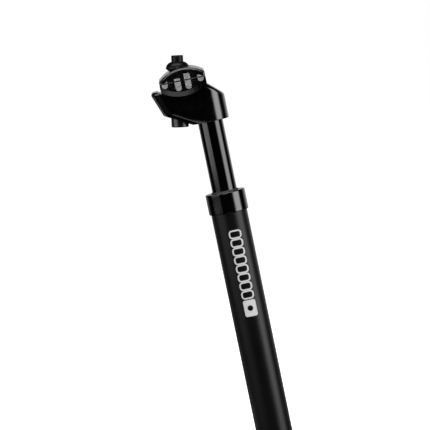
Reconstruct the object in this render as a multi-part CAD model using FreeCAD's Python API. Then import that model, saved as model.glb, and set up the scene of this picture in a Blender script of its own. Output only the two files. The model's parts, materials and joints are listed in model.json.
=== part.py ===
import FreeCAD, Part
import math
import os

from FreeCAD import Vector

# Suspension seatpost, millimetres. +Z runs up the post's axis and +X points to the front of the
# bicycle. The origin is on the axis at the lower end of the outer tube, and Y = 0 is a plane of
# symmetry.

# Driving dimensions of the telescope
POST_RADIUS = 13.6
POST_BORE = 11.2
INNER_RADIUS = 9.3
INNER_BORE = 7.0
SHOULDER_Z = 247.1
COLLAR_RADIUS = 14.9
COLLAR_TOP_Z = 262.5
SOCKET_Z = 316.5
TRAVEL = 40.0
PRELOAD_TRAVEL = 7.5
SLIDE_GAP = 0.05

# Driving dimensions of the head and the saddle clamp
SOCKET_RADIUS = 14.2
SPLIT_Z = 351.2
SPLIT_GAP = 1.0
PIVOT_X = -14.5
PIVOT_Z = 368.2
CRADLE_RADIUS = 28.5
CLAMP_LENGTH = 34.6
CLAMP_HALF_WIDTH = 28.5
CLAMP_TOP_Z = 360.3
CLAMP_TOP_RADIUS = 26.5
RAIL_RADIUS = 3.5
RAIL_Y = 22.0
RAIL_Z = 350.2
TILT_FORWARD = 17.0
TILT_BACK = 5.0

# Driving dimensions of the clamp bolt, measured along its axis from the clamp's pivot
BOLT_LEAN = 9.1
BOLT_RADIUS = 3.95
BOLT_HEAD_RADIUS = 6.5
BOLT_HEAD_HEIGHT = 8.0
BOLT_KEY_DEPTH = 4.5
BOLT_PLAY = 0.25
BOLT_END = 52.4
BOLT_KEY = 6.0
WASHER_THICKNESS = 1.5

EDGE_BREAK = 0.4
SOFT_EDGE = 0.6
BEYOND = 1.0
TALL = 500.0
CLAMP_MID_X = PIVOT_X + 0.3
CLAMP_TOP_X = CLAMP_MID_X + 1.0
PIVOT = Vector(PIVOT_X, 0, PIVOT_Z)
UP = Vector(0, 0, 1)
SIDEWAYS = Vector(0, 1, 0)


def export(name, shape):
    shape.exportStep("parts/" + name + ".step")
    print(name, "valid", shape.isValid(), "solids", len(shape.Solids), "volume", round(shape.Volume, 1))


# General shapes

def rod(radius, low, high):
    return Part.makeCylinder(radius, high - low, Vector(0, 0, low))


def ring(inner, outer, low, high):
    return rod(outer, low, high).cut(rod(inner, low - BEYOND, high + BEYOND))


def block(x_low, x_high, y_low, y_high, z_low, z_high):
    corner = Vector(x_low, y_low, z_low)
    return Part.makeBox(x_high - x_low, y_high - y_low, z_high - z_low, corner)


def hexagon_prism(across_flats, low, high):
    corner_radius = across_flats / math.sqrt(3)
    points = []
    for step in range(7):
        angle = math.radians(60 * step)
        points.append(Vector(corner_radius * math.cos(angle), corner_radius * math.sin(angle), low))
    face = Part.Face(Part.makePolygon(points))
    return face.extrude(Vector(0, 0, high - low))


def turned(points):
    """A solid of revolution about Z from (radius, z) points."""
    corners = [Vector(radius, 0, z) for radius, z in points]
    face = Part.Face(Part.makePolygon(corners + corners[:1]))
    return face.revolve(Vector(0, 0, 0), UP, 360)


def circle_edges_at(shape, radius, height):
    """The circular edges about Z with this radius at this height."""
    found = []
    for edge in shape.Edges:
        curve = edge.Curve
        if not isinstance(curve, Part.Circle):
            continue
        if abs(curve.Radius - radius) < 0.01 and abs(curve.Center.z - height) < 0.01:
            found.append(edge)
    return found


def along_bolt(shape):
    """Move a shape made about -Z from the origin onto the bolt's axis, starting at the pivot."""
    moved = shape.copy()
    moved.rotate(Vector(0, 0, 0), SIDEWAYS, BOLT_LEAN)
    moved.translate(PIVOT)
    return moved


def pivot_cylinder(radius, half_width):
    """A cylinder across the clamp, about the pivot's axis."""
    return Part.makeCylinder(radius, 2 * half_width, PIVOT - SIDEWAYS * half_width, SIDEWAYS)


# Outer tube and what is fixed in it

KEY_WIDTH = 3.0
KEY_LOW_Z = 209.0
KEY_HIGH_Z = 219.0
KEY_INNER_RADIUS = 8.4
KEY_OUTER_RADIUS = 12.2
TUBE_TOP_Z = 256.0
COLLAR_THREAD_RADIUS = 12.9
PLUG_THREAD_RADIUS = 11.9
PLUG_THREAD_TOP_Z = 22.0
BUSHING_LOW_Z = 206.0
FLANGE_THICKNESS = 1.2
FLANGE_RADIUS = COLLAR_THREAD_RADIUS - 0.1


def keyways(width, inner, outer, low, high):
    """Two opposite rectangular bars along the tube, one on each side of the axis in X."""
    front = block(inner, outer, -width / 2, width / 2, low, high)
    rear = block(-outer, -inner, -width / 2, width / 2, low, high)
    return front.fuse(rear)


def make_outer_tube():
    body = rod(POST_RADIUS, 0, SHOULDER_Z)
    body = body.fuse(rod(COLLAR_THREAD_RADIUS, SHOULDER_Z - BEYOND, TUBE_TOP_Z))
    body = body.cut(rod(POST_BORE, -BEYOND, TUBE_TOP_Z + BEYOND))
    body = body.cut(rod(PLUG_THREAD_RADIUS, -BEYOND, PLUG_THREAD_TOP_Z))
    key_top = TUBE_TOP_Z + BEYOND
    body = body.cut(keyways(KEY_WIDTH, POST_BORE - BEYOND, KEY_OUTER_RADIUS, KEY_LOW_Z, key_top))
    lower_edge = circle_edges_at(body, POST_RADIUS, 0) + circle_edges_at(body, PLUG_THREAD_RADIUS, 0)
    return body.makeChamfer(EDGE_BREAK, lower_edge)


def make_upper_bushing():
    sleeve = ring(INNER_RADIUS + SLIDE_GAP, POST_BORE, BUSHING_LOW_Z, TUBE_TOP_Z)
    flange_top = TUBE_TOP_Z + FLANGE_THICKNESS
    flange = ring(INNER_RADIUS + SLIDE_GAP, FLANGE_RADIUS, TUBE_TOP_Z, flange_top)
    windows = keyways(KEY_WIDTH, INNER_RADIUS - BEYOND, POST_BORE + BEYOND, KEY_LOW_Z, KEY_HIGH_Z)
    return sleeve.fuse(flange).removeSplitter().cut(windows)


def make_anti_rotation_keys():
    return keyways(KEY_WIDTH, KEY_INNER_RADIUS, KEY_OUTER_RADIUS, KEY_LOW_Z, KEY_HIGH_Z)


# Collar and wiper seal

SEAL_LOW_Z = 257.3
SEAL_STEP_Z = 259.0
SEAL_NECK_RADIUS = 10.6
SEAL_LIP_WIDTH = 0.3
SEAL_LIP_RISE = 1.0
COLLAR_ROUNDING = 0.8


def make_collar_nut():
    body = rod(COLLAR_RADIUS, SHOULDER_Z, COLLAR_TOP_Z)
    step_z = SEAL_STEP_Z + SLIDE_GAP
    body = body.cut(rod(COLLAR_THREAD_RADIUS + SLIDE_GAP, SHOULDER_Z - BEYOND, step_z))
    neck_bore = rod(SEAL_NECK_RADIUS + SLIDE_GAP, SEAL_STEP_Z - BEYOND, COLLAR_TOP_Z + BEYOND)
    body = body.cut(neck_bore)
    body = body.makeFillet(COLLAR_ROUNDING, circle_edges_at(body, COLLAR_RADIUS, COLLAR_TOP_Z))
    return body.makeChamfer(EDGE_BREAK, circle_edges_at(body, COLLAR_RADIUS, SHOULDER_Z))


def make_wiper_seal():
    inner = INNER_RADIUS + 2 * SLIDE_GAP
    lip_top = COLLAR_TOP_Z + SEAL_LIP_RISE
    return turned([
        (inner, SEAL_LOW_Z),
        (FLANGE_RADIUS, SEAL_LOW_Z),
        (FLANGE_RADIUS, SEAL_STEP_Z),
        (SEAL_NECK_RADIUS, SEAL_STEP_Z),
        (SEAL_NECK_RADIUS, COLLAR_TOP_Z - SEAL_LIP_WIDTH),
        (inner + SEAL_LIP_WIDTH, lip_top),
        (inner, lip_top),
    ])


# Sliding inner tube and what is fixed to it

INNER_LOW_Z = 158.0
INNER_TOP_Z = 336.0
INNER_STEP_RADIUS = 8.7
BUMPER_LOW_Z = 197.0
BUMPER_WASHER_THICKNESS = 1.0
BUMPER_RADIUS = 10.8
LOWER_BUSHING_LOW_Z = 165.0
GREASE_GROOVES = (172.0, 181.0, 190.0)
GREASE_GROOVE_WIDTH = 1.6
GREASE_GROOVE_DEPTH = 0.6
CIRCLIP_LOW_Z = 163.8
CIRCLIP_GROOVE_RADIUS = 8.2
CIRCLIP_RADIUS = 10.2
CIRCLIP_OPENING = 4.0
GROOVE_BOTTOM_RADIUS = 8.3
GROOVE_LOW_Z = 208.0
GROOVE_HIGH_Z = 260.0
END_PLUG_LOW_Z = 154.0
END_PLUG_THREAD = 10.0
END_PLUG_KEY_DEPTH = 7.0
SEAT_THICKNESS = 3.0
SEAT_RADIUS = 10.9
SEAT_BOSS_RADIUS = 6.9
SEAT_BOSS_HEIGHT = 3.0


def make_inner_tube():
    body = rod(INNER_RADIUS, BUMPER_LOW_Z, INNER_TOP_Z)
    body = body.fuse(rod(INNER_STEP_RADIUS, INNER_LOW_Z, BUMPER_LOW_Z + BEYOND))
    body = body.cut(rod(INNER_BORE, INNER_LOW_Z - BEYOND, INNER_TOP_Z + BEYOND))
    slot_width = KEY_WIDTH + 2 * SLIDE_GAP
    body = body.cut(keyways(slot_width, GROOVE_BOTTOM_RADIUS, POST_BORE, GROOVE_LOW_Z, GROOVE_HIGH_Z))
    groove = ring(CIRCLIP_GROOVE_RADIUS, POST_BORE, CIRCLIP_LOW_Z, LOWER_BUSHING_LOW_Z)
    return body.cut(groove)


def make_bumper_washer():
    return ring(INNER_STEP_RADIUS, BUMPER_RADIUS, BUMPER_LOW_Z - BUMPER_WASHER_THICKNESS, BUMPER_LOW_Z)


def make_top_out_bumper():
    body = ring(INNER_RADIUS, BUMPER_RADIUS, BUMPER_LOW_Z, BUSHING_LOW_Z)
    outer_edges = circle_edges_at(body, BUMPER_RADIUS, BUMPER_LOW_Z)
    outer_edges += circle_edges_at(body, BUMPER_RADIUS, BUSHING_LOW_Z)
    return body.makeFillet(SOFT_EDGE, outer_edges)


def make_lower_bushing():
    top = BUMPER_LOW_Z - BUMPER_WASHER_THICKNESS
    body = ring(INNER_STEP_RADIUS, POST_BORE - SLIDE_GAP, LOWER_BUSHING_LOW_Z, top)
    bottom_radius = POST_BORE - GREASE_GROOVE_DEPTH
    half = GREASE_GROOVE_WIDTH / 2
    for height in GREASE_GROOVES:
        body = body.cut(ring(bottom_radius, POST_BORE + BEYOND, height - half, height + half))
    return body


def make_retaining_ring():
    body = ring(CIRCLIP_GROOVE_RADIUS, CIRCLIP_RADIUS, CIRCLIP_LOW_Z, LOWER_BUSHING_LOW_Z)
    half = CIRCLIP_OPENING / 2
    return body.cut(block(0, POST_RADIUS, -half, half, CIRCLIP_LOW_Z, LOWER_BUSHING_LOW_Z))


def make_inner_tube_plug():
    thread = rod(INNER_BORE, END_PLUG_LOW_Z, INNER_LOW_Z + END_PLUG_THREAD)
    flange = rod(INNER_STEP_RADIUS, END_PLUG_LOW_Z, INNER_LOW_Z)
    body = thread.fuse(flange).removeSplitter()
    return body.cut(hexagon_prism(BOLT_KEY, END_PLUG_LOW_Z, END_PLUG_LOW_Z + END_PLUG_KEY_DEPTH))


def make_upper_spring_seat():
    plate_low = END_PLUG_LOW_Z - SEAT_THICKNESS
    boss_low = plate_low - SEAT_BOSS_HEIGHT
    plate = rod(SEAT_RADIUS, plate_low, END_PLUG_LOW_Z)
    boss = rod(SEAT_BOSS_RADIUS, boss_low, plate_low)
    body = plate.fuse(boss).removeSplitter()
    return body.makeChamfer(SOFT_EDGE, circle_edges_at(body, SEAT_BOSS_RADIUS, boss_low))


# Spring, bump rubber and preload screw

PLUG_LOW_Z = 0.5
PLUG_TOP_Z = 12.5
PLUG_KEY = 8.0
PLUG_KEY_DEPTH = 7.5
SPRING_LOW_Z = 15.5
SPRING_TURNS = 15
SPRING_MEAN_RADIUS = 8.55
SPRING_WIRE_RADIUS = 1.3
BUMP_RADIUS = 6.3
BUMP_PEG_RADIUS = 2.5
BUMP_PEG_HEIGHT = 8.0
BUMP_CLEARANCE = 0.5
BUMP_ROUNDING = 1.5
SPRING_TOP_Z = END_PLUG_LOW_Z - SEAT_THICKNESS - SLIDE_GAP


def make_preload_plug():
    body = rod(PLUG_THREAD_RADIUS - SLIDE_GAP, PLUG_LOW_Z, PLUG_TOP_Z)
    body = body.cut(hexagon_prism(PLUG_KEY, PLUG_LOW_Z, PLUG_LOW_Z + PLUG_KEY_DEPTH))
    return body.makeChamfer(SOFT_EDGE, circle_edges_at(body, PLUG_THREAD_RADIUS - SLIDE_GAP, PLUG_LOW_Z))


def make_lower_spring_seat():
    plate = rod(SEAT_RADIUS, PLUG_TOP_Z, SPRING_LOW_Z)
    peg = rod(BUMP_PEG_RADIUS, SPRING_LOW_Z, SPRING_LOW_Z + BUMP_PEG_HEIGHT)
    return plate.fuse(peg).removeSplitter()


def make_bump_rubber():
    bottomed_z = END_PLUG_LOW_Z - SEAT_THICKNESS - SEAT_BOSS_HEIGHT - TRAVEL - PRELOAD_TRAVEL
    top = bottomed_z - BUMP_CLEARANCE
    body = rod(BUMP_RADIUS, SPRING_LOW_Z, top)
    body = body.makeFillet(BUMP_ROUNDING, circle_edges_at(body, BUMP_RADIUS, top))
    peg_hole_top = SPRING_LOW_Z + BUMP_PEG_HEIGHT + BUMP_CLEARANCE
    return body.cut(rod(BUMP_PEG_RADIUS, SPRING_LOW_Z, peg_hole_top))


def make_main_spring():
    low = SPRING_LOW_Z + SPRING_WIRE_RADIUS
    height = SPRING_TOP_Z - SPRING_WIRE_RADIUS - low
    helix = Part.makeHelix(height / SPRING_TURNS, height, SPRING_MEAN_RADIUS)
    start = Vector(SPRING_MEAN_RADIUS, 0, 0)
    section = Part.Wire(Part.makeCircle(SPRING_WIRE_RADIUS, start, SIDEWAYS))
    wire = Part.Wire(helix).makePipeShell([section], True, True)
    wire.translate(Vector(0, 0, low))
    return wire


# Head: the socket for the inner tube and the cradle for the saddle clamp

RIM_Z = 345.2
LIP_Z = 345.8
LIP_REAR_X = -40.0
LIP_HALF_WIDTH = 16.0
LIP_CORNER = 8.5
KNEE_Z = 327.3
KNEE_REAR_X = -33.1
KNEE_HALF_WIDTH = 15.2
KNEE_CORNER = 8.0
FOOT_REAR_X = -13.3
FOOT_HALF_WIDTH = 12.6
FOOT_CORNER = 6.5
WALL_START_Y = 13.9
SLOPE_TOP_X = 2.4
SLOPE_LOW_Z = 334.8
SLOPE_ROUNDING = 3.4
KNEE_ROUNDING = 2.2
LIP_ROUNDING = 2.0
LIP_GAP = 1.4
WASHER_RADIUS = 7.2
WASHER_ROOM = 0.4
BOLT_HOLE_RADIUS = 4.3
WIDE = 40.0
WASHER_SEAT = BOLT_END - BOLT_HEAD_HEIGHT - WASHER_THICKNESS


def boat_section(height, rear_x, half_width, corner):
    """Plan outline: a front end inside the socket's wall, straight sides, rounded rear corners."""
    mid = corner * (1 - math.sqrt(0.5))
    left_front = Vector(0, WALL_START_Y, height)
    right_front = Vector(0, -WALL_START_Y, height)
    nose = Vector(WALL_START_Y - 2, 0, height)
    left_side = Vector(rear_x + corner, half_width, height)
    left_corner = Vector(rear_x + mid, half_width - mid, height)
    left_rear = Vector(rear_x, half_width - corner, height)
    right_side = Vector(rear_x + corner, -half_width, height)
    right_corner = Vector(rear_x + mid, mid - half_width, height)
    right_rear = Vector(rear_x, corner - half_width, height)
    return Part.Wire([
        Part.Arc(right_front, nose, left_front).toShape(),
        Part.LineSegment(left_front, left_side).toShape(),
        Part.Arc(left_side, left_corner, left_rear).toShape(),
        Part.LineSegment(left_rear, right_rear).toShape(),
        Part.Arc(right_rear, right_corner, right_side).toShape(),
        Part.LineSegment(right_side, right_front).toShape(),
    ])


def slope_cutter():
    """Everything above the plane that slopes down over the socket, in front of the clamp."""
    fall = (RIM_Z - SLOPE_LOW_Z) / (SOCKET_RADIUS - SLOPE_TOP_X)
    start = Vector(SLOPE_TOP_X, -WIDE, RIM_Z)
    outline = Part.makePolygon([
        start,
        Vector(WIDE, -WIDE, RIM_Z - fall * (WIDE - SLOPE_TOP_X)),
        Vector(WIDE, -WIDE, TALL),
        Vector(SLOPE_TOP_X, -WIDE, TALL),
        start,
    ])
    return Part.Face(outline).extrude(SIDEWAYS * 2 * WIDE)


def make_socket():
    body = rod(SOCKET_RADIUS, SOCKET_Z, RIM_Z).cut(slope_cutter())
    slope_edges = [edge for edge in body.Edges if isinstance(edge.Curve, Part.Ellipse)]
    body = body.makeFillet(SLOPE_ROUNDING, slope_edges)
    return body.makeFillet(SOFT_EDGE, circle_edges_at(body, SOCKET_RADIUS, SOCKET_Z))


def level_edges(shape, height, x_limit):
    """The edges that lie flat at this height, with their middles behind x_limit."""
    found = []
    for edge in shape.Edges:
        middle = edge.valueAt((edge.FirstParameter + edge.LastParameter) / 2)
        box = edge.BoundBox
        if box.ZMin > height - 0.05 and box.ZMax < height + 0.05 and middle.x < x_limit:
            found.append(edge)
    return found


def make_cradle():
    foot = boat_section(SOCKET_Z, FOOT_REAR_X, FOOT_HALF_WIDTH, FOOT_CORNER)
    knee = boat_section(KNEE_Z, KNEE_REAR_X, KNEE_HALF_WIDTH, KNEE_CORNER)
    lip = boat_section(LIP_Z, LIP_REAR_X, LIP_HALF_WIDTH, LIP_CORNER)
    body = Part.makeLoft([foot, knee, lip], True, True)
    rear_of_corners = KNEE_REAR_X + KNEE_CORNER - 1
    body = body.makeFillet(KNEE_ROUNDING, level_edges(body, KNEE_Z, rear_of_corners))
    body = body.makeFillet(LIP_ROUNDING, level_edges(body, LIP_Z, -1))
    return body.cut(block(0, WIDE, -WIDE, WIDE, SOCKET_Z - BEYOND, TALL))


def lip_relief():
    """A step that keeps the lip clear of the clamp's rear end."""
    rear_of_clamp = block(-WIDE - BEYOND, CLAMP_MID_X - CLAMP_LENGTH / 2, -WIDE, WIDE, SOCKET_Z, TALL)
    return pivot_cylinder(CRADLE_RADIUS + LIP_GAP, WIDE).common(rear_of_clamp)


def make_head():
    body = make_cradle().fuse(make_socket()).removeSplitter()
    body = body.cut(pivot_cylinder(CRADLE_RADIUS, WIDE))
    body = body.cut(lip_relief())
    body = body.cut(rod(INNER_RADIUS, SOCKET_Z - BEYOND, INNER_TOP_Z))
    body = body.cut(along_bolt(rod(BOLT_HOLE_RADIUS, -BOLT_END, 0)))
    recess_low = -BOLT_END - BOLT_HEAD_HEIGHT
    return body.cut(along_bolt(rod(WASHER_RADIUS + WASHER_ROOM, recess_low, -WASHER_SEAT)))


def make_bolt_washer():
    low = -WASHER_SEAT - WASHER_THICKNESS
    return along_bolt(ring(BOLT_RADIUS + BOLT_PLAY, WASHER_RADIUS, low, -WASHER_SEAT))


# Saddle clamp

POCKET_PLACES = (-13.5, -3.8, 3.8, 13.5)
POCKET_WIDTH = 4.5
UPPER_POCKET_HEIGHTS = (2.4, 2.8, 5.6, 2.6)
POCKET_LEAN = 12.0
UPPER_POCKET_DEPTH = 1.3
LOWER_POCKET_DEPTH = 2.4
POCKET_TOP_MARGIN = 3.2
POCKET_LOW_MARGIN = 4.1
SEAT_SPHERE_RADIUS = 12.4
SLOT_RADIUS = 4.4
UPPER_ROUNDING = 1.5
UPPER_END_FLAT = 1.0
LOWER_BEVEL_DEPTH = 1.7
LOWER_BEVEL_HEIGHT = 3.5
SLOT_MARGIN = 0.5
SLOT_REACH = 60.0


def clamp_block(low, high):
    half = CLAMP_LENGTH / 2
    return block(CLAMP_MID_X - half, CLAMP_MID_X + half, -CLAMP_HALF_WIDTH, CLAMP_HALF_WIDTH, low, high)


def top_cylinder(radius):
    """A cylinder across the clamp, about the axis of the upper half's curved top."""
    centre = Vector(CLAMP_TOP_X, -WIDE, CLAMP_TOP_Z - CLAMP_TOP_RADIUS)
    cylinder = Part.makeCylinder(radius, 2 * WIDE, centre, SIDEWAYS)
    # Half a turn takes the cylinder's own seam off the curved top
    cylinder.rotate(centre, SIDEWAYS, 180)
    return cylinder


def rail_grooves():
    start_x = CLAMP_MID_X - CLAMP_LENGTH
    grooves = []
    for side in (-1, 1):
        start = Vector(start_x, side * RAIL_Y, RAIL_Z)
        grooves.append(Part.makeCylinder(RAIL_RADIUS, 2 * CLAMP_LENGTH, start, Vector(1, 0, 0)))
    return grooves[0].fuse(grooves[1])


def bolt_slot():
    """Room for the bolt over the clamp's whole range of tilt, as a wedge with round ends."""
    rear_angle = BOLT_LEAN + TILT_BACK + SLOT_MARGIN
    front_angle = BOLT_LEAN - TILT_FORWARD - SLOT_MARGIN
    slot = None
    corners = [Vector(PIVOT_X, -SLOT_RADIUS, PIVOT_Z)]
    for angle in (rear_angle, front_angle):
        end = rod(SLOT_RADIUS, -SLOT_REACH, 0)
        end.rotate(Vector(0, 0, 0), SIDEWAYS, angle)
        end.translate(PIVOT)
        slot = end if slot is None else slot.fuse(end)
        lean = math.radians(angle)
        corner_x = PIVOT_X - SLOT_REACH * math.sin(lean)
        corner_z = PIVOT_Z - SLOT_REACH * math.cos(lean)
        corners.append(Vector(corner_x, -SLOT_RADIUS, corner_z))
    wedge = Part.Face(Part.makePolygon(corners + corners[:1])).extrude(SIDEWAYS * 2 * SLOT_RADIUS)
    return slot.fuse(wedge)


def pocket_middles():
    return [CLAMP_MID_X + place for place in POCKET_PLACES]


def upper_pocket_profiles():
    """Straight pockets above the split that end at an arc under the clamp's top."""
    half = POCKET_WIDTH / 2
    envelope = top_cylinder(CLAMP_TOP_RADIUS - POCKET_TOP_MARGIN)
    profiles = []
    for middle, height in zip(pocket_middles(), UPPER_POCKET_HEIGHTS):
        slab = block(middle - half, middle + half, -WIDE, WIDE, SPLIT_Z, SPLIT_Z + height)
        profiles.append(slab.common(envelope))
    return profiles


def lower_pocket_profiles():
    """Pockets below the split with round ends, which stop at an arc just above the bevel."""
    half = POCKET_WIDTH / 2
    arc_radius = CRADLE_RADIUS - POCKET_LOW_MARGIN
    profiles = []
    for middle in pocket_middles():
        end_z = PIVOT_Z - math.sqrt(arc_radius ** 2 - (middle - PIVOT_X) ** 2)
        slab = block(middle - half, middle + half, -WIDE, WIDE, end_z + half, SPLIT_Z)
        round_end = Part.makeCylinder(half, 2 * WIDE, Vector(middle, -WIDE, end_z + half), SIDEWAYS)
        profiles.append(slab.fuse(round_end))
    return profiles


def side_pockets(profiles, depth):
    """Pockets in both outer sides, this deep at the split, with floors that lean back."""
    pockets = []
    for side in (-1, 1):
        floor = block(-TALL, TALL, 0, WIDE, -WIDE, WIDE)
        floor.rotate(Vector(0, 0, 0), Vector(1, 0, 0), POCKET_LEAN)
        floor.translate(Vector(0, CLAMP_HALF_WIDTH - depth, SPLIT_Z))
        if side < 0:
            floor = floor.mirror(Vector(0, 0, 0), SIDEWAYS)
        for profile in profiles:
            pockets.append(profile.common(floor))
    return Part.makeCompound(pockets)


def outline_edges(shape, z_low, z_high):
    """The edges round a clamp half's curved face, whose middles lie in this band of height."""
    found = []
    for edge in shape.Edges:
        middle = edge.valueAt((edge.FirstParameter + edge.LastParameter) / 2)
        on_side = abs(middle.y) > CLAMP_HALF_WIDTH - SLIDE_GAP
        across = on_side or edge.BoundBox.YLength > CLAMP_HALF_WIDTH
        if across and z_low < middle.z < z_high and edge.BoundBox.ZLength < CLAMP_LENGTH / 2:
            found.append(edge)
    return found


def make_upper_clamp():
    body = clamp_block(SPLIT_Z + SPLIT_GAP / 2, TALL).common(top_cylinder(CLAMP_TOP_RADIUS))
    body = body.makeFillet(UPPER_ROUNDING, outline_edges(body, SPLIT_Z + UPPER_END_FLAT, TALL))
    body = body.cut(side_pockets(upper_pocket_profiles(), UPPER_POCKET_DEPTH))
    body = body.cut(rail_grooves())
    body = body.cut(Part.makeSphere(SEAT_SPHERE_RADIUS + SLIDE_GAP, PIVOT))
    return body.cut(bolt_slot())


def bevelled_cylinder():
    """The lower half's round underside, about the pivot, with a wide bevel towards each side."""
    radius = CRADLE_RADIUS - SLIDE_GAP
    straight_half = CLAMP_HALF_WIDTH - LOWER_BEVEL_DEPTH
    body = pivot_cylinder(radius, straight_half)
    for side in (-1, 1):
        outward = SIDEWAYS * side
        start = PIVOT + outward * straight_half
        bevel = Part.makeCone(radius, radius - LOWER_BEVEL_HEIGHT, LOWER_BEVEL_DEPTH, start, outward)
        body = body.fuse(bevel)
    return body


def make_lower_clamp():
    body = clamp_block(0, SPLIT_Z - SPLIT_GAP / 2).common(bevelled_cylinder())
    body = body.cut(side_pockets(lower_pocket_profiles(), LOWER_POCKET_DEPTH))
    body = body.cut(rail_grooves())
    return body.cut(bolt_slot())


# Clamp bolt and nut, made about the bolt's own axis with the pivot at zero

NUT_RADIUS = 8.85
NUT_RIM = -8.65
NUT_TOP = -3.6
NUT_FLAT_RADIUS = 3.2
NECK_RADIUS = 4.45
NECK_TOP = 1.2
BOLT_TIP = 0.6


def make_clamp_bolt():
    shank = rod(BOLT_RADIUS, -BOLT_END + BEYOND, BOLT_TIP)
    head = rod(BOLT_HEAD_RADIUS, -BOLT_END, -BOLT_END + BOLT_HEAD_HEIGHT)
    head = head.makeFillet(SOFT_EDGE, circle_edges_at(head, BOLT_HEAD_RADIUS, -BOLT_END))
    body = head.fuse(shank).removeSplitter()
    body = body.makeChamfer(SOFT_EDGE, circle_edges_at(body, BOLT_RADIUS, BOLT_TIP))
    body = body.cut(hexagon_prism(BOLT_KEY, -BOLT_END, -BOLT_END + BOLT_KEY_DEPTH))
    return along_bolt(body)


def make_saddle_nut():
    """A nut with a ball-shaped underside about the pivot, a domed shoulder and a plain neck."""
    seat = Part.makeSphere(SEAT_SPHERE_RADIUS)
    lower = seat.common(rod(NUT_RADIUS, -SEAT_SPHERE_RADIUS, NUT_RIM))
    rise = NUT_TOP - NUT_RIM
    bulge_radius = NUT_FLAT_RADIUS + (NUT_RADIUS - NUT_FLAT_RADIUS) * math.sqrt(0.5)
    bulge_z = NUT_RIM + rise * math.sqrt(0.5)
    rim = Vector(NUT_RADIUS, 0, NUT_RIM)
    shoulder = Vector(NUT_FLAT_RADIUS, 0, NUT_TOP)
    outline = Part.Wire([
        Part.LineSegment(Vector(0, 0, NUT_RIM), rim).toShape(),
        Part.Arc(rim, Vector(bulge_radius, 0, bulge_z), shoulder).toShape(),
        Part.LineSegment(shoulder, Vector(0, 0, NUT_TOP)).toShape(),
        Part.LineSegment(Vector(0, 0, NUT_TOP), Vector(0, 0, NUT_RIM)).toShape(),
    ])
    dome = Part.Face(outline).revolve(Vector(0, 0, 0), UP, 360)
    neck = rod(NECK_RADIUS, NUT_RIM, NECK_TOP)
    neck = neck.makeChamfer(SOFT_EDGE, circle_edges_at(neck, NECK_RADIUS, NECK_TOP))
    body = lower.fuse(dome).fuse(neck).removeSplitter()
    return along_bolt(body.cut(rod(BOLT_RADIUS + SLIDE_GAP, -SEAT_SPHERE_RADIUS, NECK_TOP)))


def main():
    os.makedirs("parts", exist_ok=True)
    export("outer_tube", make_outer_tube())
    export("upper_bushing", make_upper_bushing())
    export("anti_rotation_keys", make_anti_rotation_keys())
    export("collar_nut", make_collar_nut())
    export("wiper_seal", make_wiper_seal())
    export("inner_tube", make_inner_tube())
    export("bumper_washer", make_bumper_washer())
    export("top_out_bumper", make_top_out_bumper())
    export("lower_bushing", make_lower_bushing())
    export("retaining_ring", make_retaining_ring())
    export("inner_tube_plug", make_inner_tube_plug())
    export("upper_spring_seat", make_upper_spring_seat())
    export("main_spring", make_main_spring())
    export("bump_rubber", make_bump_rubber())
    export("lower_spring_seat", make_lower_spring_seat())
    export("preload_plug", make_preload_plug())
    export("head", make_head())
    export("bolt_washer", make_bolt_washer())
    export("lower_clamp", make_lower_clamp())
    export("upper_clamp", make_upper_clamp())
    export("clamp_bolt", make_clamp_bolt())
    export("saddle_nut", make_saddle_nut())


main()
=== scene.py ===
import json
import math

import bmesh
import bpy
from mathutils import Matrix, Vector


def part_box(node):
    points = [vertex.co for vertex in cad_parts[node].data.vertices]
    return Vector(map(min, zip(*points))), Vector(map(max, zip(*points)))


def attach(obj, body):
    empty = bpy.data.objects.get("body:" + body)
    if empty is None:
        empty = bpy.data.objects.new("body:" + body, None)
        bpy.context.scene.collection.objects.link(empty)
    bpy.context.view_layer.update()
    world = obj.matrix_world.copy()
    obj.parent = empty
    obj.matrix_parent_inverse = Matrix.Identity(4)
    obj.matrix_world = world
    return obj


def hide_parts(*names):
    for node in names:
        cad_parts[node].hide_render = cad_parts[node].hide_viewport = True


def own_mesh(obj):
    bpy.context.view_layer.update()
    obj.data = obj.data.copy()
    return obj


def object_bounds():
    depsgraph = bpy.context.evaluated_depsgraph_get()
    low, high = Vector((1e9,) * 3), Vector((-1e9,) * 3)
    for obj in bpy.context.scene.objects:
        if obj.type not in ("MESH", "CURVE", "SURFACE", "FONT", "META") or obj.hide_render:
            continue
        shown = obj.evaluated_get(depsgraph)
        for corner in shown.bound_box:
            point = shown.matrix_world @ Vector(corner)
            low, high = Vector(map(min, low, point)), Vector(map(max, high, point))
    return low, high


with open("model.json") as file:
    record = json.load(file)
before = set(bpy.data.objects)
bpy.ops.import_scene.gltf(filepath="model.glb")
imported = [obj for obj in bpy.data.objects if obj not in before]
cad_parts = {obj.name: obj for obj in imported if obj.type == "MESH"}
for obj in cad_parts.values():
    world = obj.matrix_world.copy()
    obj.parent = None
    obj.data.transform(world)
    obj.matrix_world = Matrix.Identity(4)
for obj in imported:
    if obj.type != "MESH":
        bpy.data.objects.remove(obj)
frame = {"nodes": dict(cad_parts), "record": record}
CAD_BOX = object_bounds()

SCENE = bpy.context.scene

# Camera: a long lens, a little above the post's middle, rolled so that the post leans back
VIEW_DISTANCE = 2.2
VIEW_DOWN = math.radians(5.0)
VIEW_ROLL = math.radians(11.7)
FIELD_WIDTH = 0.3215
AIM_X = -0.01076
AIM_Z = 0.2467
SENSOR_WIDTH = 36.0
CLIP_END = 60.0

HEAD_MIDDLE = sum(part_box("head"), Vector()) / 2


# Node-building helpers

SOCKET_NAMES = {
    "metallic": "Metallic",
    "coat_weight": "Coat Weight",
    "coat_roughness": "Coat Roughness",
    "specular_ior_level": "Specular IOR Level",
    "emission_strength": "Emission Strength",
}


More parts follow.
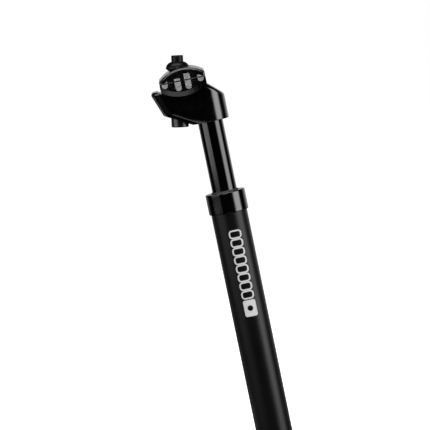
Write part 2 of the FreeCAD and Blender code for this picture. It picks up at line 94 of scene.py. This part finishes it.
class Graph:
    """A material's node tree, with short calls for the nodes that these materials need."""

    def __init__(self, name):
        self.material = bpy.data.materials.new(name)
        self.material.use_nodes = True
        self.tree = self.material.node_tree
        self.shader = self.tree.nodes["Principled BSDF"]
        self.place = self.add("ShaderNodeTexCoord").outputs["Object"]

    def add(self, kind):
        return self.tree.nodes.new(kind)

    def wire(self, source, target):
        """Join an output to an input, or set the input to a plain value."""
        if isinstance(source, bpy.types.NodeSocket):
            self.tree.links.new(source, target)
        else:
            target.default_value = source

    def maths(self, operation, first, second=0.0, third=0.0):
        node = self.add("ShaderNodeMath")
        node.operation = operation
        for value, socket in zip((first, second, third), node.inputs):
            self.wire(value, socket)
        return node.outputs[0]

    def length(self, first, second):
        second_squared = self.maths("MULTIPLY", second, second)
        squares = self.maths("MULTIPLY_ADD", first, first, second_squared)
        return self.maths("SQRT", squares)

    def below(self, value, softness):
        """1 where the value is under zero, 0 over it, with a soft edge this wide each way."""
        return self.spread(value, 1.0, 0.0, -softness, softness)

    def split(self):
        node = self.add("ShaderNodeSeparateXYZ")
        self.wire(self.place, node.inputs[0])
        return node.outputs[0], node.outputs[1], node.outputs[2]

    def stretched(self, scale):
        node = self.add("ShaderNodeMapping")
        self.wire(self.place, node.inputs["Vector"])
        node.inputs["Scale"].default_value = scale
        return node.outputs[0]

    def noise(self, scale, detail=2.0, roughness=0.5, place=None):
        node = self.add("ShaderNodeTexNoise")
        self.wire(self.place if place is None else place, node.inputs["Vector"])
        node.inputs["Scale"].default_value = scale
        node.inputs["Detail"].default_value = detail
        node.inputs["Roughness"].default_value = roughness
        return node.outputs["Fac"]

    def spread(self, value, low, high, from_low=0.3, from_high=0.7):
        """Map a noise value's usual range to low..high."""
        node = self.add("ShaderNodeMapRange")
        self.wire(value, node.inputs["Value"])
        node.inputs["From Min"].default_value = from_low
        node.inputs["From Max"].default_value = from_high
        node.inputs["To Min"].default_value = low
        node.inputs["To Max"].default_value = high
        return node.outputs[0]

    def blend_colour(self, amount, first, second):
        node = self.add("ShaderNodeMix")
        node.data_type = "RGBA"
        self.wire(amount, node.inputs[0])
        self.wire(first, node.inputs[6])
        self.wire(second, node.inputs[7])
        return node.outputs[2]

    def bump(self, height, distance, strength=1.0, under=None):
        node = self.add("ShaderNodeBump")
        self.wire(height, node.inputs["Height"])
        node.inputs["Distance"].default_value = distance
        node.inputs["Strength"].default_value = strength
        if under is not None:
            self.wire(under, node.inputs["Normal"])
        return node.outputs[0]

    def finish(self, colour, roughness, normal=None, **fixed):
        """Wire the shader; fixed values go straight on its own sockets."""
        self.wire(colour, self.shader.inputs["Base Color"])
        self.wire(roughness, self.shader.inputs["Roughness"])
        if normal is not None:
            self.wire(normal, self.shader.inputs["Normal"])
        for name, value in fixed.items():
            self.shader.inputs[SOCKET_NAMES[name]].default_value = value
        return self.material


def grey(value, warm=0.0):
    return (value * (1 + warm), value, value * (1 - warm), 1.0)


def shade(graph, amount, dark, light, warm=0.0):
    return graph.blend_colour(amount, grey(dark, warm), grey(light, warm))


# Materials

# The printed mark: a chain of plain links and a badge with a dot, down the post's right side
MARK_X = 0.0010
LINK_PITCH = 0.0066
LINK_COUNT = 8
LINK_TOP_Z = 0.2340
LINK_HALF_WIDTH = 0.0042
LINK_HALF_HEIGHT = 0.0027
LINK_CORNER = 0.0020
LINK_LINE = 0.0011
BADGE_Z = 0.1743
BADGE_HALF_WIDTH = 0.0047
BADGE_HALF_HEIGHT = 0.0062
BADGE_CORNER = 0.0016
DOT_RADIUS = 0.0021
INK_EDGE = 0.00012

# The minimum insertion mark: short ticks all round the lower tube
TICK_Z = 0.0735
TICK_HALF_HEIGHT = 0.0035
TICK_COUNT = 24
TICK_DUTY = 0.08
TICK_SIDE_EDGE = 0.02


def rounded_box(graph, across, along, half_across, half_along, corner):
    """Distance from a rounded rectangle's edge, negative inside it."""
    reach_across = graph.maths("SUBTRACT", graph.maths("ABSOLUTE", across), half_across - corner)
    reach_along = graph.maths("SUBTRACT", graph.maths("ABSOLUTE", along), half_along - corner)
    over_across = graph.maths("MAXIMUM", reach_across, 0.0)
    over_along = graph.maths("MAXIMUM", reach_along, 0.0)
    outside = graph.length(over_across, over_along)
    inside = graph.maths("MINIMUM", graph.maths("MAXIMUM", reach_across, reach_along), 0.0)
    return graph.maths("SUBTRACT", graph.maths("ADD", outside, inside), corner)


def printed_mark(graph):
    """How much ink lies at each point of the outer tube, from 0 to 1."""
    x, y, z = graph.split()
    across = graph.maths("SUBTRACT", x, MARK_X)
    depth = graph.maths("SUBTRACT", LINK_TOP_Z, z)
    cell = graph.maths("WRAP", depth, LINK_PITCH, 0.0)
    along = graph.maths("SUBTRACT", cell, LINK_PITCH / 2)
    edge = rounded_box(graph, across, along, LINK_HALF_WIDTH, LINK_HALF_HEIGHT, LINK_CORNER)
    line = graph.maths("SUBTRACT", graph.maths("ABSOLUTE", edge), LINK_LINE / 2)
    links = graph.below(line, INK_EDGE)
    above_end = graph.below(graph.maths("SUBTRACT", depth, LINK_PITCH * LINK_COUNT), INK_EDGE)
    below_start = graph.below(graph.maths("MULTIPLY", depth, -1.0), INK_EDGE)
    links = graph.maths("MULTIPLY", links, graph.maths("MULTIPLY", above_end, below_start))
    badge_along = graph.maths("SUBTRACT", z, BADGE_Z)
    badge_edge = rounded_box(
        graph, across, badge_along, BADGE_HALF_WIDTH, BADGE_HALF_HEIGHT, BADGE_CORNER)
    dot = graph.maths("SUBTRACT", DOT_RADIUS, graph.length(across, badge_along))
    badge = graph.below(graph.maths("MAXIMUM", badge_edge, dot), INK_EDGE)
    mark = graph.maths("MULTIPLY", graph.maths("MAXIMUM", links, badge), graph.below(y, INK_EDGE))
    return graph.maths("MAXIMUM", mark, insertion_ticks(graph, x, y, z))


def insertion_ticks(graph, x, y, z):
    turn = graph.maths("MULTIPLY", graph.maths("ARCTAN2", x, y), TICK_COUNT / math.tau)
    cell = graph.maths("SUBTRACT", graph.maths("WRAP", turn, 1.0, 0.0), 0.5)
    off_tick = graph.maths("SUBTRACT", graph.maths("ABSOLUTE", cell), TICK_DUTY)
    narrow = graph.below(off_tick, TICK_SIDE_EDGE)
    height = graph.maths("ABSOLUTE", graph.maths("SUBTRACT", z, TICK_Z))
    short = graph.below(graph.maths("SUBTRACT", height, TICK_HALF_HEIGHT), INK_EDGE)
    return graph.maths("MULTIPLY", narrow, short)


def make_post_anodised():
    """Bead-blasted and anodised black, drawn along the tube, with the pale printed mark."""
    graph = Graph("post_anodised")
    grain = graph.noise(5200.0, 3.0, 0.6)
    cloud = graph.noise(60.0, 3.0)
    streak = graph.noise(900.0, 2.0, place=graph.stretched((1.0, 1.0, 0.02)))
    tone = graph.maths("ADD", graph.spread(grain, 0.0, 0.6), graph.spread(cloud, 0.0, 0.4))
    rough = graph.maths("ADD", graph.spread(grain, 0.30, 0.38), graph.spread(streak, -0.02, 0.03))
    wear = graph.spread(graph.noise(2600.0, 3.0), 0.90, 1.0)
    ink = graph.maths("MULTIPLY", printed_mark(graph), wear)
    colour = graph.blend_colour(ink, shade(graph, tone, 0.0006, 0.0022, 0.04), grey(0.62))
    rough = graph.maths("ADD", rough, graph.maths("MULTIPLY", ink, 0.12))
    normal = graph.bump(grain, 0.00003, 0.6, graph.bump(ink, 0.00002, 0.5))
    return graph.finish(colour, rough, normal, specular_ior_level=0.235)


def make_gloss_black():
    """Wet-looking paint on the collar, with a little orange peel and fine dust."""
    graph = Graph("gloss_black")
    peel = graph.noise(700.0, 2.0)
    dust = graph.noise(9000.0, 1.0)
    specks = graph.spread(dust, 0.0, 1.0, 0.72, 0.80)
    rough = graph.spread(graph.noise(120.0, 2.0), 0.10, 0.16)
    normal = graph.bump(peel, 0.00004, 0.35)
    colour = shade(graph, specks, 0.0004, 0.008)
    return graph.finish(colour, rough, normal, coat_weight=0.25, coat_roughness=0.05)


def make_shaft_black():
    """Ground and polished hard anodising: faint turning lines round the tube."""
    graph = Graph("shaft_black")
    lines = graph.noise(1.0, 3.0, 0.6, graph.stretched((30.0, 30.0, 5200.0)))
    wipe = graph.noise(1.0, 2.0, 0.5, graph.stretched((500.0, 500.0, 9.0)))
    rough = graph.maths("ADD", graph.spread(lines, 0.05, 0.10), graph.spread(wipe, 0.0, 0.05))
    normal = graph.bump(lines, 0.000006, 0.5)
    return graph.finish(shade(graph, wipe, 0.0003, 0.0008), rough, normal)


def make_forged_black():
    """Gloss paint over a forged head: a soft waviness and fine orange peel."""
    graph = Graph("forged_black")
    wave = graph.noise(150.0, 2.0)
    peel = graph.noise(1100.0, 2.0)
    rough = graph.spread(graph.noise(260.0, 3.0), 0.12, 0.20)
    normal = graph.bump(peel, 0.00003, 0.35, graph.bump(wave, 0.00012, 0.4))
    colour = shade(graph, graph.noise(90.0), 0.0002, 0.0006)
    return graph.finish(colour, rough, normal, coat_weight=0.25, coat_roughness=0.06)


def make_clamp_black():
    """Gloss paint over a rougher forging."""
    graph = Graph("clamp_black")
    wave = graph.noise(330.0, 3.0, 0.55)
    pits = graph.noise(2200.0, 2.0)
    rough = graph.spread(graph.noise(500.0, 3.0), 0.14, 0.26)
    normal = graph.bump(pits, 0.00005, 0.5, graph.bump(wave, 0.0005, 0.6))
    colour = shade(graph, graph.noise(200.0), 0.0003, 0.0008)
    return graph.finish(colour, rough, normal, coat_weight=0.4, coat_roughness=0.08)


def make_bolt_black():
    """Black zinc on steel: slightly blotched, with fine turning marks."""
    graph = Graph("bolt_black")
    blotch = graph.noise(700.0, 4.0, 0.65)
    lines = graph.noise(1.0, 2.0, 0.6, graph.stretched((60.0, 60.0, 7000.0)))
    rough = graph.maths("ADD", graph.spread(blotch, 0.20, 0.34), graph.spread(lines, -0.02, 0.03))
    normal = graph.bump(lines, 0.00001, 0.4)
    return graph.finish(shade(graph, blotch, 0.001, 0.006), rough, normal)


def make_nut_black():
    """Black oxide on the saddle nut: nearly matt, with turned rings and a few rubbed patches."""
    graph = Graph("nut_black")
    rubbed = graph.noise(420.0, 4.0, 0.6)
    lines = graph.noise(1.0, 2.0, 0.6, graph.stretched((60.0, 60.0, 5200.0)))
    rough = graph.maths("ADD", graph.spread(rubbed, 0.26, 0.40), graph.spread(lines, -0.02, 0.03))
    normal = graph.bump(lines, 0.00001, 0.4)
    return graph.finish(shade(graph, rubbed, 0.0004, 0.003), rough, normal, specular_ior_level=0.14)


def make_steel(name, dark, light, line_scale):
    """Bare steel with fine lines and a film of oil."""
    graph = Graph(name)
    lines = graph.noise(1.0, 3.0, 0.6, graph.stretched((line_scale, line_scale, 80.0)))
    film = graph.noise(300.0, 3.0)
    rough = graph.maths("ADD", graph.spread(lines, 0.20, 0.32), graph.spread(film, -0.04, 0.06))
    normal = graph.bump(lines, 0.00001, 0.5)
    return graph.finish(shade(graph, film, dark, light, 0.02), rough, normal, metallic=1.0)


def make_rubber(name, dark, light, roughness):
    """Moulded rubber with a fine pebbled skin."""
    graph = Graph(name)
    skin = graph.noise(3000.0, 3.0, 0.6)
    cloud = graph.noise(140.0, 3.0)
    normal = graph.bump(skin, 0.00004, 0.5)
    rough = graph.spread(skin, roughness - 0.06, roughness + 0.06)
    return graph.finish(graph.blend_colour(cloud, dark, light), rough, normal)


def make_plastic(name, dark, light):
    """Moulded engineering plastic with faint flow marks."""
    graph = Graph(name)
    flow = graph.noise(1.0, 3.0, 0.6, graph.stretched((250.0, 250.0, 60.0)))
    grain = graph.noise(4200.0, 2.0)
    normal = graph.bump(grain, 0.00002, 0.4)
    rough = graph.spread(grain, 0.36, 0.48)
    return graph.finish(graph.blend_colour(flow, dark, light), rough, normal)


FACING_RINGS = 24000.0


def make_plug_aluminium():
    """Machined aluminium: rings left by facing on a lathe."""
    graph = Graph("plug_aluminium")
    x, y, z = graph.split()
    ring = graph.maths("SINE", graph.maths("MULTIPLY", graph.length(x, y), FACING_RINGS))
    ring = graph.maths("MULTIPLY_ADD", ring, 0.5, 0.5)
    cloud = graph.noise(200.0, 3.0)
    rough = graph.maths("ADD", graph.spread(cloud, 0.22, 0.32), graph.maths("MULTIPLY", ring, 0.05))
    normal = graph.bump(ring, 0.00001, 0.4)
    return graph.finish(shade(graph, cloud, 0.48, 0.60), rough, normal, metallic=1.0)


ACETAL_DARK = (0.70, 0.69, 0.64, 1.0)
ACETAL_LIGHT = (0.80, 0.79, 0.74, 1.0)
AMBER_DARK = (0.40, 0.24, 0.05, 1.0)
AMBER_LIGHT = (0.55, 0.36, 0.09, 1.0)

MATERIAL_OF_SLOT = {
    "post_anodised": make_post_anodised(),
    "gloss_black": make_gloss_black(),
    "forged_black": make_forged_black(),
    "clamp_black": make_clamp_black(),
    "shaft_black": make_shaft_black(),
    "bolt_black": make_bolt_black(),
    "nut_black": make_nut_black(),
    "spring_steel": make_steel("spring_steel", 0.28, 0.40, 1800.0),
    "plain_steel": make_steel("plain_steel", 0.42, 0.56, 2600.0),
    "seal_rubber": make_rubber("seal_rubber", grey(0.012), grey(0.024), 0.66),
    "bump_rubber": make_rubber("bump_rubber", AMBER_DARK, AMBER_LIGHT, 0.48),
    "bushing_plastic": make_plastic("bushing_plastic", ACETAL_DARK, ACETAL_LIGHT),
    "seat_plastic": make_plastic("seat_plastic", grey(0.030), grey(0.050)),
    "plug_aluminium": make_plug_aluminium(),
}


def dress_cad_nodes():
    for part in frame["record"]["subparts"]:
        node = frame["nodes"][part["node"]]
        node.data.materials.clear()
        node.data.materials.append(MATERIAL_OF_SLOT[part["material_slot"]])


# The main spring, in two lengths

SPRING_SPLIT_Z = 0.050


def spring_length(name, low_z, high_z, body):
    """The coils between two heights, as a piece that moves with this body."""
    source = frame["nodes"]["main_spring"]
    coils = bmesh.new()
    coils.from_mesh(source.data)
    for height, outward in ((low_z, -1.0), (high_z, 1.0)):
        everything = coils.verts[:] + coils.edges[:] + coils.faces[:]
        cut = bmesh.ops.bisect_plane(
            coils,
            geom=everything,
            plane_co=(0, 0, height),
            plane_no=(0, 0, outward),
            clear_outer=True,
        )
        rim = [item for item in cut["geom_cut"] if isinstance(item, bmesh.types.BMEdge)]
        bmesh.ops.holes_fill(coils, edges=rim)
    mesh = bpy.data.meshes.new(name)
    coils.to_mesh(mesh)
    coils.free()
    mesh.materials.clear()
    mesh.materials.append(MATERIAL_OF_SLOT["spring_steel"])
    mesh.polygons.foreach_set("use_smooth", [True] * len(mesh.polygons))
    piece = bpy.data.objects.new(name, mesh)
    SCENE.collection.objects.link(piece)
    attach(piece, body)
    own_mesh(piece)
    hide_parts("main_spring")


def make_spring():
    """The lower coils move with the preload carrier and the upper coils with the outer post."""
    low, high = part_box("main_spring")
    split = SPRING_SPLIT_Z
    spring_length("lower_coils", low.z, split, "preload_carrier")
    spring_length("upper_coils", split, high.z, "outer_post")


# Studio

FLOOR_RADIUS = 14.0
ROOM_GLOW = 0.006

# Degrees round, degrees up, distance, width, height, radiance, share of each side that fades
SOFTBOXES = {
    "right_strip": (62.0, -2.0, 1.6, 1.5, 1.6, 5.8, 0.30),
    "left_high_strip": (-62.0, 14.4, 1.6, 1.6, 1.2, 2.6, 0.0),
    "left_low_strip": (-62.0, -22.0, 1.6, 1.6, 0.8, 0.06, 0.0),
    "right_back_strip": (145.0, 0.0, 1.6, 2.2, 1.6, 0.95, 0.45),
    "left_back_strip": (-145.0, 0.0, 1.6, 1.6, 1.6, 0.33, 0.45),
    "left_under_strip": (-125.0, -28.0, 1.6, 0.7, 0.6, 1.6, 0.30),
    "back_wall": (180.0, 8.0, 1.6, 0.6, 0.5, 0.5, 0.0),
    "front_high_box": (0.0, 28.0, 1.6, 1.3, 0.9, 9.0, 0.50),
    "front_low_box": (-14.0, -48.0, 1.6, 1.5, 1.0, 0.95, 0.30),
    "top_box": (0.0, 80.0, 1.4, 1.6, 1.0, 4.5, 0.0),
    "low_box": (0.0, -78.0, 1.6, 1.1, 0.8, 0.25, 0.0),
}


def direction(around, up):
    """A unit vector from the object; 0 degrees round is towards the camera, + is to its right."""
    turn = math.radians(around)
    rise = math.radians(up)
    level = math.cos(rise)
    return Vector((math.sin(turn) * level, -math.cos(turn) * level, math.sin(rise)))


def softbox(name, around, up, distance, width, height, radiance, feather):
    """A rectangular light that faces the head, as bright as its radiance says.

    With a feather over 0, it fades to nothing over that share of its width and height.
    """
    data = bpy.data.lights.new(name, "AREA")
    data.shape = "RECTANGLE"
    data.size = width
    data.size_y = height
    data.energy = radiance * math.pi * width * height
    if feather > 0.0:
        feather_edges(data, feather)
    light = bpy.data.objects.new(name, data)
    outward = direction(around, up)
    light.location = HEAD_MIDDLE + outward * distance
    light.rotation_euler = outward.to_track_quat("Z", "Y").to_euler()
    light.visible_camera = False
    SCENE.collection.objects.link(light)


def edge_fade(tree, across, feather):
    """0 at both edges of a light, rising smoothly to 1 over this share of its size."""
    from_edge = tree.nodes.new("ShaderNodeMath")
    from_edge.operation = "PINGPONG"
    from_edge.inputs[1].default_value = 0.5
    tree.links.new(across, from_edge.inputs[0])
    fade = tree.nodes.new("ShaderNodeMapRange")
    fade.interpolation_type = "SMOOTHSTEP"
    fade.inputs["From Max"].default_value = feather
    tree.links.new(from_edge.outputs[0], fade.inputs["Value"])
    return fade.outputs[0]


def feather_edges(data, feather):
    data.use_nodes = True
    tree = data.node_tree
    split = tree.nodes.new("ShaderNodeSeparateXYZ")
    product = tree.nodes.new("ShaderNodeMath")
    product.operation = "MULTIPLY"
    tree.links.new(tree.nodes.new("ShaderNodeNewGeometry").outputs["Parametric"], split.inputs[0])
    for across, factor in zip(split.outputs, product.inputs[:2]):
        tree.links.new(edge_fade(tree, across, feather), factor)
    tree.links.new(product.outputs[0], tree.nodes["Emission"].inputs["Strength"])


def make_lights():
    for name, settings in SOFTBOXES.items():
        softbox(name, *settings)


def make_floor():
    """A large pale disc under the post, which glossy paint doesn't mirror."""
    graph = Graph("pale_floor")
    tone = graph.spread(graph.noise(3.0, 2.0), 0.80, 0.84)
    colour = graph.blend_colour(tone, grey(0.78), grey(0.84))
    graph.shader.inputs["Emission Color"].default_value = grey(1.0)
    material = graph.finish(colour, 0.9, emission_strength=1.0)
    bpy.ops.mesh.primitive_circle_add(vertices=96, radius=FLOOR_RADIUS, fill_type="NGON")
    floor = bpy.context.object
    floor.location.z = CAD_BOX[0][2]
    floor.name = "floor"
    floor.data.materials.append(material)
    floor.visible_glossy = False
    floor.visible_diffuse = False
    floor.visible_shadow = False


def make_world():
    """White to the camera, and a dim room to everything else."""
    world = bpy.data.worlds.new("studio")
    world.use_nodes = True
    SCENE.world = world
    tree = world.node_tree
    background = tree.nodes["Background"]
    path = tree.nodes.new("ShaderNodeLightPath")
    reach = tree.nodes.new("ShaderNodeMapRange")
    reach.inputs["To Min"].default_value = ROOM_GLOW
    reach.inputs["To Max"].default_value = 1.0
    tree.links.new(path.outputs["Is Camera Ray"], reach.inputs["Value"])
    tree.links.new(reach.outputs[0], background.inputs["Strength"])
    background.inputs["Color"].default_value = grey(1.0)


def make_camera():
    data = bpy.data.cameras.new("camera")
    data.sensor_width = SENSOR_WIDTH
    data.lens = SENSOR_WIDTH * VIEW_DISTANCE / FIELD_WIDTH
    data.clip_end = CLIP_END
    camera = bpy.data.objects.new("camera", data)
    SCENE.collection.objects.link(camera)
    outward = Vector((0, -math.cos(VIEW_DOWN), math.sin(VIEW_DOWN)))
    facing = outward.to_track_quat("Z", "Y").to_matrix().to_4x4()
    place = Matrix.Translation(Vector((AIM_X, 0, AIM_Z)) + outward * VIEW_DISTANCE)
    camera.matrix_world = place @ facing @ Matrix.Rotation(-VIEW_ROLL, 4, "Z")
    SCENE.camera = camera


def main():
    SCENE.view_settings.view_transform = "Standard"
    make_camera()
    make_world()
    make_floor()
    make_lights()
    dress_cad_nodes()
    make_spring()


main()
